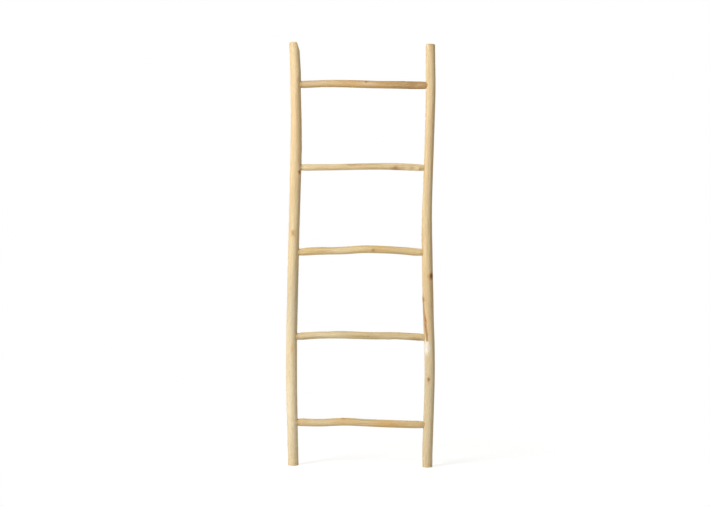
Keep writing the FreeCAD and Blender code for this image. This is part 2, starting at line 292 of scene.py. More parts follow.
def peeling(s, angle, seed, strength):
    """Flutes of the trunk and the long facets that the draw knife left.

    Each is a height and a noise, of its own length along the branch and count round it.
    """
    turns = angle / TAU
    from_start = s - np.min(s)
    flutes = 0.30 * noise(from_start / 85, turns + from_start / 4000, 6, seed)
    facets = 0.30 - 0.34 * np.abs(noise(from_start / 120, turns + from_start / 2500, 15, seed + 1))
    strips = -0.16 * np.abs(noise(from_start / 42, turns, 22, seed + 2))
    fine = 0.05 * noise(from_start / 11, turns, 40, seed + 3)
    return strength * (flutes + facets + strips + fine)


def pared_knots(branch, s, angle, reach):
    """The flat pared over each knot, with its sunk heart and the wood that grew up round it."""
    lift = np.zeros(np.broadcast(s, angle).shape)
    for place, degrees, core, _ in KNOTS[branch.node]:
        along = (s - place) / core
        across = turn_from(angle, degrees) * reach / core
        away = np.hypot(along / 1.35, across)
        collar = 0.45 * bell((away - 1.55) / 0.55)
        pared = -0.5 * bell(away / 1.15)
        heart = -0.35 * bell(away / 0.35)
        lift += (collar + pared + heart) * core / 5
    return lift


def wound_place(s, angle, reach):
    """Millimetres across from the wound's line, its half width and its depth."""
    degrees, half_width, depth = (np.interp(s, WOUND[:, 0], WOUND[:, i]) for i in (1, 2, 3))
    wander = 1.5 * np.sin(s / 9.0) + 1.0 * np.sin(s / 3.7)
    across = wrapped(turn_from(angle, 0) - np.radians(degrees + wander)) * reach
    return across, half_width, np.where((s > WOUND[0, 0]) & (s < WOUND[-1, 0]), depth, 0)


def wound_groove(s, angle, reach):
    """The wound's floor, torn along the grain, between two rolled lips."""
    across, half_width, depth = wound_place(s, angle, reach)
    torn = 1 + 0.22 * np.sin(across * 4.1 + s / 13.0) + 0.12 * np.sin(across * 9.0 - s / 7.0)
    floor = np.clip(1 - (across / (1.15 * half_width)) ** 2, 0, 1) ** 0.6 * torn
    lips = 0.30 * bell((np.abs(across) - 1.55 * half_width) / (0.45 * half_width))
    return depth * (lips - floor)


CUTS = 9  # of the knife, round the end of a rung


def whittling(from_shoulder, angle, reach, seed):
    """Short knife cuts that bring the end of a rung down to its shoulder."""
    rng = np.random.default_rng(seed)
    cuts = np.sort((np.arange(CUTS) + rng.uniform(-0.25, 0.25, CUTS)) / CUTS) * 360
    widths = rng.uniform(17, 25, CUTS)
    runs = rng.uniform(9, 21, CUTS)
    lift = np.zeros(np.broadcast(from_shoulder, angle).shape)
    for degrees, half_width, run in zip(cuts, widths, runs):
        off = np.abs(turn_from(angle, degrees))
        flat = np.cos(math.radians(half_width)) / np.cos(np.minimum(off, 1.2)) - 1
        inside = off < math.radians(half_width)
        fade = eased(np.clip((run - from_shoulder) / 3.5, 0, 1)) * np.clip(from_shoulder / 0.8, 0, 1)
        lift = np.where(inside, np.minimum(lift, flat * reach * 0.7 * fade), lift)
    return lift


# ---- meshes


def new_mesh(name, points, faces):
    """A mesh from points in millimetres."""
    mesh = bpy.data.meshes.new(name)
    mesh.from_pydata(np.array(points) * MM, [], faces)
    mesh.update()
    return mesh


def tube(name, rings):
    """A closed mesh from rings of points, all with one count."""
    rows, count = rings.shape[:2]
    here = np.arange(rows * count).reshape(rows, count)
    beside = np.roll(here, -1, axis=1)
    quads = np.stack([here[:-1], beside[:-1], beside[1:], here[1:]], -1).reshape(-1, 4)
    caps = [(here.size, b, a) for a, b in zip(here[0], beside[0])]
    caps += [(here.size + 1, a, b) for a, b in zip(here[-1], beside[-1])]
    points = np.vstack([rings.reshape(-1, 3), rings[0].mean(0), rings[-1].mean(0)])
    return new_mesh(name, points, quads.tolist() + caps)


def add_object(name, mesh):
    made = bpy.data.objects.new(name, mesh)
    bpy.context.scene.collection.objects.link(made)
    return made


def lathe(name, start, direction, profile, count):
    """A closed solid of revolution. profile holds (depth along direction, radius)."""
    turn = Vector((0, 0, 1)).rotation_difference(Vector(direction)).to_matrix()
    angles = full_turn(count)
    rings = [[(r * math.cos(a), r * math.sin(a), depth) for a in angles] for depth, r in profile]
    mesh = tube(name, np.array(rings))
    mesh.transform(Matrix.Translation(Vector(start) * MM) @ turn.to_4x4())
    return mesh


def cut(piece, cutters):
    """Takes the cutters' meshes out of the piece, one after another."""
    for mesh in cutters:
        tool = add_object("cutter", mesh)
        modifier = piece.modifiers.new("bore", "BOOLEAN")
        modifier.operation = "DIFFERENCE"
        modifier.solver = "MANIFOLD"
        modifier.object = tool
        graph = bpy.context.evaluated_depsgraph_get()
        cleared = bpy.data.meshes.new_from_object(
            piece.evaluated_get(graph), preserve_all_data_layers=True, depsgraph=graph
        )
        piece.modifiers.clear()
        piece.data = cleared
        bpy.data.objects.remove(tool)


def set_materials(piece, *materials):
    piece.data.materials.clear()
    for material in materials:
        piece.data.materials.append(material)


def finish_mesh(piece, sharp_degrees):
    piece.data.shade_smooth()
    piece.data.set_sharp_from_angle(angle=math.radians(sharp_degrees))


def read(items, name, kind, width=1):
    """One property of a mesh's vertices, corners or faces."""
    flat = np.empty(len(items) * width, kind)
    items.foreach_get(name, flat)
    return flat.reshape(-1, width) if width > 1 else flat


def points_of(mesh):
    return read(mesh.vertices, "co", np.float32, 3).astype(float) / MM


def store(mesh, name, vectors):
    attribute = mesh.attributes.new(name, "FLOAT_VECTOR", "POINT")
    attribute.data.foreach_set("vector", np.ascontiguousarray(vectors, np.float32).ravel())


# ---- the map that textures are made on

MAP_GAP = 3.0  # between islands, in millimetres of the surface
MOST_STRIPS = 5
OUTER_FACING = 0.35  # the least that the normal of an outer face points away from the centre line
SPOT_MARGIN = 0.5
DEEPEST_BORE = 26.0


class Unwrapped:
    """A branch's surface laid out flat, in millimetres, as strips of its length one over another.

    Faces that don't look outwards, such as sawn ends and the walls of bores, lie in rows after them.
    """

    def __init__(self, piece, branch):
        self.mesh, self.branch = piece.data, branch
        points = points_of(self.mesh)
        faces = self.mesh.polygons
        totals, starts = (read(faces, name, np.int32) for name in ("loop_total", "loop_start"))
        corner = read(self.mesh.loops, "vertex_index", np.int32)
        self.face = np.repeat(np.arange(len(faces)), totals)
        self.corners = points[corner]
        self.centres = np.add.reduceat(self.corners, starts) / totals[:, None]
        self.normals = read(faces, "normal", np.float32, 3)
        self.strips(points, corner)

    def strips(self, points, corner):
        """Lays all faces out as strips, and marks those that don't look outwards."""
        branch = self.branch
        s, angle, _ = branch.locate(points)
        face_s, face_angle, _ = branch.locate(self.centres)
        around = TAU * branch.reaches.max()
        length = branch.end - branch.start
        counts = range(1, MOST_STRIPS + 1)
        strips = min(counts, key=lambda n: max(length / n, n * (around + MAP_GAP) + around / 3))
        run = length / strips
        strip = np.clip(((face_s - branch.start) / run).astype(int), 0, strips - 1)[self.face]
        turn = (face_angle - branch.seam) % TAU
        beyond = wrapped(angle[corner] - face_angle[self.face])
        self.u = s[corner] - branch.start - strip * run + MAP_GAP / 2
        share = (turn[self.face] + beyond) / TAU
        self.v = strip * (around + MAP_GAP) + share * around + MAP_GAP / 2
        self.width = run + MAP_GAP
        self.next_u, self.next_v, self.row = 0.0, strips * (around + MAP_GAP), 0.0
        ways = np.stack([np.cos(face_angle), np.sin(face_angle)], -1)
        outwards = ways[:, :1] * branch.axes[1] + ways[:, 1:] * branch.axes[2]
        self.inner = (self.normals * outwards).sum(1) < OUTER_FACING

    def spot(self, along, middle, radius):
        """Lays the inner faces within radius of a line through middle flat, as seen along it."""
        across, up = np.roll(along, 1), np.roll(along, 2)
        off = self.centres - middle
        near = np.hypot(off @ across, off @ up) < radius + SPOT_MARGIN
        near &= self.inner & (np.abs(off @ np.array(along)) < 1.3 * radius + DEEPEST_BORE)
        chosen = near[self.face]
        size = 2 * radius + MAP_GAP
        if self.next_u + size > self.width:
            self.next_u, self.next_v, self.row = 0.0, self.next_v + self.row, 0.0
        place = self.corners[chosen] - middle
        self.u[chosen] = self.next_u + size / 2 + place @ across
        self.v[chosen] = self.next_v + size / 2 + place @ up
        self.next_u, self.row = self.next_u + size, max(self.row, size)
        self.inner &= ~near

    def store(self):
        side = max(self.width, self.next_v + self.row)
        layer = self.mesh.uv_layers.new(name="OFBake")
        layer.data.foreach_set("uv", np.stack([self.u, self.v], -1).astype(np.float32).ravel() / side)


def lay_out(piece, branch, joints):
    """Gives a branch's skin its map: the strips, then the screw holes, the mortises and the ends."""
    flat = Unwrapped(piece, branch)
    for joint in joints:
        flat.spot((0, 1, 0), joint.head, joint.head_radius)
    if branch.node.startswith("rail"):
        for joint in joints:
            flat.spot((1, 0, 0), (joint.tip, *joint.middle[1:]), joint.radius)
    for s in (branch.start, branch.end):
        centre = branch.centre(np.array([s]))
        middle = branch.place(np.array([s]), centre, 0.0, 0.0)[0]
        flat.spot(tuple(branch.axes[0]), middle, branch.reaches.max())
    flat.store()


# ---- what the wood's nodes read

SPLIT_SIGHT = 3.0  # how far from a split its distance is kept
SPLIT_EVERY = 45  # millimetres of a branch
WORN_STATIONS = 400  # along a branch, where its smooth skin is looked up


def grain_lines(branch, s, angle, reach):
    """Places in the straight-grained wood, with the grain pushed aside by each knot."""
    bent = angle.copy()
    for place, degrees, core, _ in KNOTS[branch.node]:
        along = (s - place) / (1.9 * core)
        across = turn_from(angle, degrees) * reach / (1.25 * core)
        away = along**2 + across**2
        pushed = across * away / (away + 1)
        bent += np.where(away < 40, (pushed - across) * 1.25 * core / reach, 0)
    return np.stack([reach * np.cos(bent), reach * np.sin(bent), s], -1)


def knot_rings(branch, s, angle, reach):
    """Distance from the nearest knot's heart in core radii, that knot's darkness, and the wound's mask,
    which paints its scar colour and the shade in its groove.
    """
    nearest = np.full(len(s), 9.0)
    dark = np.zeros(len(s))
    for place, degrees, core, darkness in KNOTS[branch.node]:
        across = turn_from(angle, degrees) * reach / core
        away = np.hypot((s - place) / (1.35 * core), across)
        closer = away < nearest
        nearest[closer] = away[closer]
        dark[closer] = darkness
    wound = np.zeros(len(s))
    if branch.node == "rail_right":
        across, half_width, depth = wound_place(s, angle, reach)
        wound = bell((across - 0.4 * half_width) / (2.5 * half_width)) * np.clip(depth / 0.9, 0, 1)
    return np.stack([nearest, dark, wound], -1)


def drying_splits(branch, seed):
    """Splits that opened as the branch dried: place, angle, half length and half width of each."""
    rng = np.random.default_rng(seed)
    length = branch.end - branch.start
    splits = []
    for _ in range(int(length / SPLIT_EVERY)):
        at_end = rng.uniform() < 0.45
        half_length = rng.uniform(9, 26) if at_end else rng.uniform(14, 55)
        ends = (branch.start + 0.3 * half_length, branch.end - 0.3 * half_length)
        place = ends[rng.integers(2)] if at_end else rng.uniform(*ends)
        angle, half_width = rng.uniform(-180, 180), rng.uniform(0.10, 0.22)
        beside = [
            abs(place - p) < half_length + h + 5 and abs((angle - a + 180) % 360 - 180) < 35
            for p, a, h, _ in splits
        ]
        if not any(beside):
            splits.append((place, angle, half_length, half_width))
    return splits


def split_lines(branch, seed, s, angle, reach):
    """Signed distance from the nearest drying split and half its width, in millimetres."""
    off = np.full(len(s), SPLIT_SIGHT)
    wide = np.full(len(s), -1.0)
    for place, degrees, half_length, half_width in drying_splits(branch, seed):
        across = turn_from(angle, degrees) * reach
        across = across + 0.5 * np.sin(s / 15 + place) + 0.2 * np.sin(s / 4.7 + place)
        along = (s - place) / half_length
        near = (np.abs(along) < 1) & (np.abs(across) < SPLIT_SIGHT)
        off[near] = across[near]
        wide[near] = half_width * np.sqrt(1 - along[near] ** 2)
    return np.stack([off, wide, np.zeros(len(s))], -1)


def stain_masks(branch, s, angle, reach):
    masks = {name: np.zeros((len(s), 3)) for name in STAIN_HOLDERS}
    for tone, place, degrees, half_length, half_width, strength in STAINS[branch.node]:
        spread = ((s - place) / half_length) ** 2
        if half_width:
            spread = spread + (turn_from(angle, degrees) * reach / half_width) ** 2
        name, column = TONES[tone][:2]
        masks[name][:, column] = np.maximum(masks[name][:, column], strength * np.exp(-0.7 * spread))
    return masks


def joint_shade_and_glue(points, joints):
    """How near the surface is to a rung's shoulder or a screw's rim: painted shade where the parts meet,
    with the darkening of glue and tools.
    """
    near = np.zeros(len(points))
    for joint in joints:
        x, y, z = (points - (joint.shoulder, *joint.middle[1:])).T
        ring = np.hypot(np.hypot(y, z) - joint.radius, x * 0.7)
        near = np.maximum(near, bell(ring / 4.5))
        x, y, z = (points - joint.head).T
        rim = np.hypot(np.hypot(x, z) - joint.head_radius, y)
        near = np.maximum(near, 1.6 * bell(rim / 1.1))
    return near


def mark_grain(piece, branch, joints, seed):
    """Stores on the piece's mesh everything that the wood's nodes read."""
    points = points_of(piece.data)
    s, angle, reach = branch.locate(points)
    store(piece.data, "grain", grain_lines(branch, s, angle, reach))
    store(piece.data, "knot", knot_rings(branch, s, angle, reach))
    store(piece.data, "split", split_lines(branch, seed, s, angle, reach))
    for name, values in stain_masks(branch, s, angle, reach).items():
        store(piece.data, name, values)
    stations = np.linspace(branch.known[0], branch.known[-1], WORN_STATIONS)
    smooth_reach = smooth(stations, branch.known, branch.reaches)
    rows = np.interp(s, stations, np.arange(WORN_STATIONS))
    row = np.clip(rows.astype(int), 0, WORN_STATIONS - 1)
    column = (angle % TAU) / TAU * COARSE_ANGLES
    depth = reach - smooth_reach[row, column.round().astype(int) % COARSE_ANGLES]
    end = np.minimum(s - branch.start, branch.end - s)
    # the depth of the peeling, the painted shade at the joints and the distance to the nearest end
    store(piece.data, "worn_and_shaded", np.stack([depth, joint_shade_and_glue(points, joints), end], -1))


# ---- node materials


class Wire:
    """What flows out of a node. Its sums and products are nodes as well."""

    def __init__(self, socket):
        self.socket = socket

    def __add__(self, other):
        return maths("ADD", self, other)

    def __sub__(self, other):
        return maths("SUBTRACT", self, other)

    def __mul__(self, other):
        return maths("MULTIPLY", self, other)


def tree_of(*values):
    """The node tree of the first wire among the values."""
    return next(value.socket.id_data for value in values if isinstance(value, Wire))


def feed(socket, value):
    """Gives a socket its value, or the wire that brings it."""
    if isinstance(value, Wire):
        socket.id_data.links.new(value.socket, socket)
    else:
        socket.default_value = value


def node(tree, kind, inputs=None, **settings):
    """A shader node. inputs holds its sockets' values, or the wires that feed them."""
    made = tree.nodes.new("ShaderNode" + kind)
    for name, value in settings.items():
        setattr(made, name, value)
    for name, value in (inputs or {}).items():
        feed(made.inputs[name], value)
    return made


def wire(tree, kind, inputs=None, output=0, **settings):
    """What flows out of a new node."""
    return Wire(node(tree, kind, inputs, **settings).outputs[output])


def maths(operation, a, b=0.0, c=0.0, clamp=False):
    return wire(tree_of(a, b, c), "Math", {0: a, 1: b, 2: c}, operation=operation, use_clamp=clamp)


def between(value, low, high, out_low=0.0, out_high=1.0):
    """value taken from low..high to out_low..out_high, smoothly and no further."""
    inputs = {"Value": value, "From Min": low, "From Max": high, "To Min": out_low, "To Max": out_high}
    return wire(tree_of(value), "MapRange", inputs, "Result", interpolation_type="SMOOTHSTEP")


def mixed(factor, a, b, blend="MIX"):
    """A colour mix. a and b are colours or wires."""
    made = node(tree_of(factor, a, b), "Mix", data_type="RGBA", blend_type=blend)
    for index, value in ((0, factor), (6, a), (7, b)):
        feed(made.inputs[index], (*value, 1.0) if isinstance(value, tuple) else value)
    return Wire(made.outputs[2])


def attribute(tree, name):
    return wire(tree, "Attribute", output="Vector", attribute_name=name)


def parts_of(vector):
    return [Wire(out) for out in node(tree_of(vector), "SeparateXYZ", {0: vector}).outputs]


def cloudy(place, scale, detail, roughness, distortion=0.0):
    inputs = {"Vector": place, "Scale": scale, "Detail": detail}
    inputs |= {"Roughness": roughness, "Distortion": distortion}
    return wire(tree_of(place), "TexNoise", inputs, "Fac")


def streaks(place, across, along, detail=3.0, roughness=0.6, distortion=0.0, shift=0.0):
    """Noise drawn out along the grain, in features of the given sizes in millimetres."""
    tree = tree_of(place)
    sizes = (1 / across, 1 / across, 1 / along)
    scaled = wire(tree, "VectorMath", {0: place, 1: sizes}, operation="MULTIPLY")
    offset = (shift, shift * 0.7, shift * 1.3)
    moved = wire(tree, "VectorMath", {0: scaled, 1: offset}, operation="ADD")
    return cloudy(moved, 1.0, detail, roughness, distortion)


def new_material(name):
    material = bpy.data.materials.new(name)
    material.use_nodes = True
    tree = material.node_tree
    tree.nodes.clear()
    output = node(tree, "OutputMaterial")
    shader = node(tree, "BsdfPrincipled")
    feed(output.inputs["Surface"], Wire(shader.outputs[0]))
    return material, tree, shader


def set_shader(shader, colour, roughness, **others):
    values = {"Base Color": colour, "Roughness": roughness}
    for name, value in (values | others).items():
        feed(shader.inputs[name.replace("_", " ")], value)


def relief(height, strength, depth):
    """Fine relief of at most depth millimetres, as a normal."""
    inputs = {"Height": height, "Strength": strength, "Distance": depth * MM}
    return wire(tree_of(height), "Bump", inputs)


def stained(tree, colour, cloud, bands):
    """Lays the stains on a colour, among them the painted highlight on the wound's lip, with edges that are
    ragged and run along the fibres.
    """
    masks = {holder: parts_of(attribute(tree, holder)) for holder in STAIN_HOLDERS}
    for holder, column, tone, strength in TONES.values():
        ragged = masks[holder][column] * between(cloud, 0.30, 0.66, 0.55, 1.45)
        fibrous = ragged * between(bands, 0.35, 0.65, 0.75, 1.15)
        colour = mixed(maths("MULTIPLY", fibrous, strength, clamp=True), colour, tone)
    return colour


def knotted(colour, palette, away, dark, lobes, wavy):
    """Lays each knot on a colour: the wood round it, its ringed core and what is left of its bark."""
    halo = between(wavy, 2.6, 1.0) * between(dark, 0.0, 1.0, 0.40, 0.85)
    colour = mixed(halo, colour, palette["knot_halo"])
    rings = maths("SINE", maths("MULTIPLY_ADD", wavy, 19.0, lobes * 9.0))
    core = mixed(between(rings, -0.4, 1.0, 0.05, 0.38), palette["knot"], palette["knot_halo"])
    core = mixed(dark, mixed(0.5, core, palette["body"]), core)
    core = mixed(between(away, 0.5, 0.1, 0.0, 0.7), core, palette["heart"])
    colour = mixed(between(wavy, 1.12, 0.95), colour, core)
    bark_ring = between(wavy, 0.86, 1.02) * between(wavy, 1.25, 1.08)
    bark_left = between(lobes, 0.62, 0.40) * between(dark, 0, 1, 0.15, 0.9)
    return mixed(bark_ring * bark_left, colour, palette["heart"])


def wood_colour(tree, palette, seed):
    """The colour of a peeled branch. Returns it with the masks that its relief and gloss share."""
    grain = attribute(tree, "grain")
    fibre = streaks(grain, 0.55, 26, 4.0, 0.65, shift=seed)
    drift = streaks(grain, 9, 170, 2.0, 0.5, 0.4, shift=seed + 3)
    bands = streaks(grain, 2.4, 95, 3.0, 0.55, 0.3, shift=seed + 7)
    pores = streaks(grain, 0.20, 3.4, 1.0, 0.5, shift=seed + 11)
    cloud = streaks(grain, 5, 16, 4.0, 0.6, 0.6, shift=seed + 13)

    colour = mixed(between(drift, 0.34, 0.66), palette["body"], palette["light"])
    colour = mixed(between(bands, 0.54, 0.72, 0.0, 0.55), colour, palette["streak"])
    colour = mixed(between(bands, 0.44, 0.30, 0.0, 0.40), colour, palette["light"])
    colour = stained(tree, colour, cloud, bands)

    depth, seated_shade_and_glue, to_end = parts_of(attribute(tree, "worn_and_shaded"))
    rings = maths("SINE", maths("MULTIPLY_ADD", depth, 17.0, drift * 30.0))
    colour = mixed(between(rings, 0.35, 1.0, 0.0, 0.20), colour, palette["streak"])
    shade = between(fibre, 0.28, 0.72, 0.86, 1.06)
    grey = wire(tree, "CombineColor", {0: shade, 1: shade, 2: shade})
    colour = mixed(1.0, colour, grey, "MULTIPLY")
    dashes = between(pores, 0.64, 0.74, 0.0, 0.38)
    colour = mixed(dashes, colour, palette["pore"])

    away, dark, wound = parts_of(attribute(tree, "knot"))
    lobes = streaks(grain, 6, 9, 2.0, 0.55, shift=seed + 17)
    uneven = away * between(lobes, 0.30, 0.70, 1.35, 0.72)
    wavy = uneven + (cloud - 0.5) * 0.7
    colour = knotted(colour, palette, away, dark, lobes, wavy)
    # the wound: its reddish-brown scar colour with painted shade across its groove, and painted near-black
    # shade along its crease
    torn = wound * between(cloud, 0.3, 0.7, 0.85, 1.1)
    colour = mixed(between(torn, 0.25, 0.85, 0.0, 0.75), colour, palette["scar_and_groove_shade"])
    colour = mixed(between(torn, 0.86, 1.04, 0.0, 0.55), colour, palette["heart"])

    off, half_width, _ = parts_of(attribute(tree, "split"))
    ragged = maths("MULTIPLY_ADD", fibre - 0.5, 0.35, maths("ABSOLUTE", off))
    split = between(ragged - half_width, 0.07, -0.08)
    colour = mixed(split * 0.85, colour, palette["split"])
    # painted shade where a rung meets its rail and round each screw head, with some glue darkening
    colour = mixed(seated_shade_and_glue * 0.40, colour, palette["streak"])
    handled = between(to_end, 14.0, 0.0, 0.0, 0.35)
    colour = mixed(handled * between(cloud, 0.3, 0.7), colour, palette["streak"])
    return colour, (fibre, dashes, split, between(wavy, 1.3, 0.9), cloud)


def wood_material(name, palette, seed):
    material, tree, shader = new_material(name)
    colour, (fibre, pores, split, knot, cloud) = wood_colour(tree, palette, seed)
    rough = between(fibre, 0.3, 0.7, 0.66, 0.52) + knot * -0.12
    hairs = fibre * 0.5
    sunk = maths("MULTIPLY_ADD", pores, -0.35, split * -2.4)
    height = hairs + sunk + cloud * 0.35
    set_shader(shader, colour, rough, Specular_IOR_Level=0.16, Normal=relief(height, 0.75, 0.30))
    return material


PITH_ACROSS, PITH_BACK = 1.8, 1.2  # off the centre line, along one cross axis and against the other
# Cracks that start at it: angle, length, half width.
END_CRACKS = ((20, 13, 0.22), (141, 16, 0.30), (205, 8, 0.14), (262, 14, 0.20), (318, 6, 0.12))


def end_cracks(x, y, cloud, seed):
    crack = 0.0
    for degrees, length, half_width in END_CRACKS:
        turn = math.radians(degrees + 17 * seed)
        along = x * math.cos(turn) + y * math.sin(turn)
        aside = y * math.cos(turn) - x * math.sin(turn) + (cloud - 0.5) * 1.6
        width = between(along, 0.0, 1.5) * between(along, length, 2.0, 0.0, half_width)
        line = between(maths("ABSOLUTE", aside) - width, 0.05, -0.06)
        crack = maths("MAXIMUM", crack, line * between(width, 0.0, 0.03))
    return crack


def end_grain_material(name, palette, seed):
    """Sawn ends: rings round an off-centre pith, rays, and cracks that start at it."""
    material, tree, shader = new_material(name)
    grain = attribute(tree, "grain")
    x, y, _ = parts_of(grain)
    x, y = x - PITH_ACROSS, y + PITH_BACK
    from_pith = maths("SQRT", x * x + y * y)
    angle = maths("ARCTAN2", y, x)
    cloud = streaks(grain, 5, 40, 3.0, 0.6, shift=seed)
    ring = maths("SINE", (from_pith + (cloud - 0.5) * 2.6) * 4.3)
    colour = mixed(between(ring, 0.1, 1.0, 0.0, 0.65), palette["body"], palette["streak"])
    circle = wire(tree, "CombineXYZ", {0: maths("COSINE", angle), 1: maths("SINE", angle), 2: 0.0})
    spoke = cloudy(circle, 22.0, 3.0, 0.7)
    colour = mixed(between(spoke, 0.55, 0.75, 0.0, 0.30), colour, palette["pore"])
    crack = end_cracks(x, y, cloud, seed)
    colour = mixed(crack * 0.85, colour, palette["split"])
    colour = mixed(between(from_pith, 1.9, 0.9, 0.0, 0.9), colour, palette["heart"])
    saw = streaks(grain, 0.5, 300, 2.0, 0.7, shift=seed + 5)
    colour = mixed(between(saw, 0.5, 0.75, 0.0, 0.25), colour, palette["light"])
    rough = between(saw, 0.3, 0.7, 0.72, 0.86)
    bumps = relief(saw * 0.6 - crack * 1.5, 0.8, 0.30)
    set_shader(shader, colour, rough, Specular_IOR_Level=0.25, Normal=bumps)
    return material


def palette(body, light, streak):
    """The colours of one branch. The first three are its own, and the rest are common to this wood."""
    return {
        "body": body,
        "light": light,
        "streak": streak,
        "pore": (0.42, 0.27, 0.14),
        "knot_halo": (0.46, 0.235, 0.080),
        "knot": (0.255, 0.110, 0.032),
        "heart": (0.110, 0.046, 0.018),
        # the healed scar's colour, which also stands for painted shade in the wound's groove
        "scar_and_groove_shade": (0.41, 0.215, 0.100),
        "split": (0.075, 0.042, 0.024),
    }


PALETTES = {
    "rail_left": palette((0.725, 0.545, 0.305), (0.79, 0.625, 0.390), (0.60, 0.405, 0.19)),
    "rail_right": palette((0.705, 0.525, 0.290), (0.77, 0.605, 0.370), (0.57, 0.38, 0.175)),
    "rung_top": palette((0.58, 0.385, 0.180), (0.67, 0.480, 0.260), (0.44, 0.26, 0.105)),
    "rung_upper": palette((0.72, 0.545, 0.310), (0.80, 0.650, 0.400), (0.57, 0.38, 0.19)),
    "rung_middle": palette((0.68, 0.495, 0.250), (0.76, 0.595, 0.330), (0.54, 0.355, 0.165)),
    "rung_lower": palette((0.66, 0.495, 0.270), (0.74, 0.595, 0.350), (0.52, 0.35, 0.17)),
    "rung_bottom": palette((0.66, 0.465, 0.230), (0.73, 0.560, 0.305), (0.51, 0.325, 0.145)),
}


def zinc_material():
    """Bright zinc plate, a little dulled, with driver marks and a faint straw bloom."""
    material, tree, shader = new_material("zinc_plate")
    place = wire(tree, "TexCoord", output="Object")
    bloom = cloudy(place, 260.0, 3.0, 0.6)
    speck = cloudy(place, 2600.0, 2.0, 0.7)
    colour = mixed(between(bloom, 0.35, 0.65), (0.47, 0.47, 0.45), (0.56, 0.54, 0.48))
    colour = mixed(between(speck, 0.60, 0.75, 0.0, 0.5), colour, (0.32, 0.31, 0.29))
    rough = between(speck, 0.35, 0.7, 0.24, 0.46)
    set_shader(shader, colour, rough, Metallic=1.0, Normal=relief(speck, 0.35, 0.04))
    return material


# ---- the pieces' geometry

RAIL_AXES = ((0, 0, 1), (1, 0, 0), (0, 1, 0))
RUNG_AXES = ((1, 0, 0), (0, 0, 1), (0, -1, 0))
RAIL_STEP, RAIL_COUNT = 1.75, 92  # spacing of the rings of a rail's skin, and its points round
RUNG_STEP, RUNG_COUNT = 1.3, 72
RAIL_STATIONS = 150  # heights that a rail is measured at, less those at its mortises
ZONE_MARGIN = 3.0  # kept from a mortise by those stations
RUNG_STATION_STEP = 5.0
NEAR_SHOULDER = np.array([0.4, 2, 4, 6, 8])  # closer stations there
END_DEPTHS = np.array([0.0, 0.2, 0.5, 0.9, 1.4, 2.0, 2.8, 3.6, 4.4])  # of the rings at a rail's ends
SHOULDER_DEPTHS = np.array([0.0, 0.5, 1.0, 1.8, 2.7])  # of the rings at a rung's shoulders
TENON_RINGS = 12
HOLE_COUNT = 40  # points round a screw's hole
HOLE_RUN_IN = 6.0  # of its cutter, past the screw's head
HEAD_RIM = 0.5  # height of the head's straight rim


class Joint:
    """One end of a rung in its rail, read off the frame."""

    def __init__(self, place, end):
        self.screw = f"screw_{place}_{SIDES[end]}"
        mesh = points_of(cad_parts["rung_" + place].data)
        self.tip = mesh[:, 0].min() if end == 0 else mesh[:, 0].max()
        straight = mesh[np.abs(mesh[:, 0] - self.tip) < 2.5 * TENON_CHAMFER]
        low, high = straight.min(0), straight.max(0)
        self.middle = (low + high) / 2
        self.radius = float((high - low)[2] / 2)
        self.outwards = -1 if end == 0 else 1
        low, high = corners(self.screw)
        self.head = np.array([(low[0] + high[0]) / 2, high[1], (low[2] + high[2]) / 2])
        self.head_radius = float(high[0] - low[0]) / 2
        self.screw_length = float(high[1] - low[1])

    def mortise(self):
        """The cutter of this joint's mortise, from clear of the rail to the mortise's floor."""
        floor = self.tip + self.outwards * GLUE_POCKET
        start = (self.tip - self.outwards * FAR, self.middle[1], self.middle[2])
        depth = abs(floor - start[0])
        radius = self.radius + GLUE_GAP
        profile = [(0, radius), (depth / 2, radius), (depth, radius)]
        return lathe("mortise", start, (self.outwards, 0, 0), profile, RAIL_COUNT)

    def screw_hole(self):
        """The cutter of the countersunk hole, which starts clear of the rail's crown."""
        rim = self.head_radius + SCREW_CLEARANCE
        shank = self.head_radius / 2 + SCREW_CLEARANCE
        top, cone = HOLE_RUN_IN + HEAD_RIM, self.head_radius / 2
        bottom = HOLE_RUN_IN + self.screw_length + SCREW_CLEARANCE
        profile = [(0, rim), (top, rim), (top + cone, shank), (bottom, shank)]
        return lathe("screw_hole", self.head + (0, HOLE_RUN_IN, 0), (0, -1, 0), profile, HOLE_COUNT)


JOINTS = {place: [Joint(place, end) for end in (0, 1)] for place in PLACES}


def inset_for(distance, ease):
    """How far a rounded edge draws in at a distance from the end."""
    left = np.clip(ease - distance, 0, ease)
    return ease - np.sqrt(ease**2 - left**2)


CAP_SHARES = (0.93, 0.84, 0.72, 0.58, 0.44, 0.30, 0.16, 0.06)  # of the rim
SAW_DEPTH = 0.07  # half the height of its marks


def cap_rings(rim, pith, outwards, along, seed):
    """Rings from the rim of a sawn end towards its pith, with the saw's marks on them."""
    rng = np.random.default_rng(seed)
    slope = rng.uniform(0, math.pi)
    rings = []
    for share in CAP_SHARES:
        ring = pith + (rim - pith) * share
        off = ring - pith
        lines = np.sin((off[:, 0] * math.cos(slope) + off[:, 1] * math.sin(slope)) * 2.1)
        rings.append(ring + (outwards * SAW_DEPTH * (lines - 1.0) * (1 - share**8))[:, None] * along)
    return rings


def measured_rail(name, joints):
    """A rail's centre line and skin, without its mortises, its wound and its pared tip."""
    branch = Measured(name, RAIL_AXES)
    length = branch.end - branch.start
    spaced = np.linspace(2 * FOOT_EASE, length - 1.5 * TIP_EASE, RAIL_STATIONS)
    clear = [s for s in spaced if all(abs(s - j.middle[2]) > j.radius + ZONE_MARGIN for j in joints)]
    low, high = corners(name)
    guess = ((low[0] + high[0]) / 2, 0.0)
    if name == "rail_right":
        branch.survey(clear, guess, near_wound)
    else:
        branch.survey([s for s in clear if s < length - PARING_LENGTH], guess)
        branch.extend(length)
    return branch


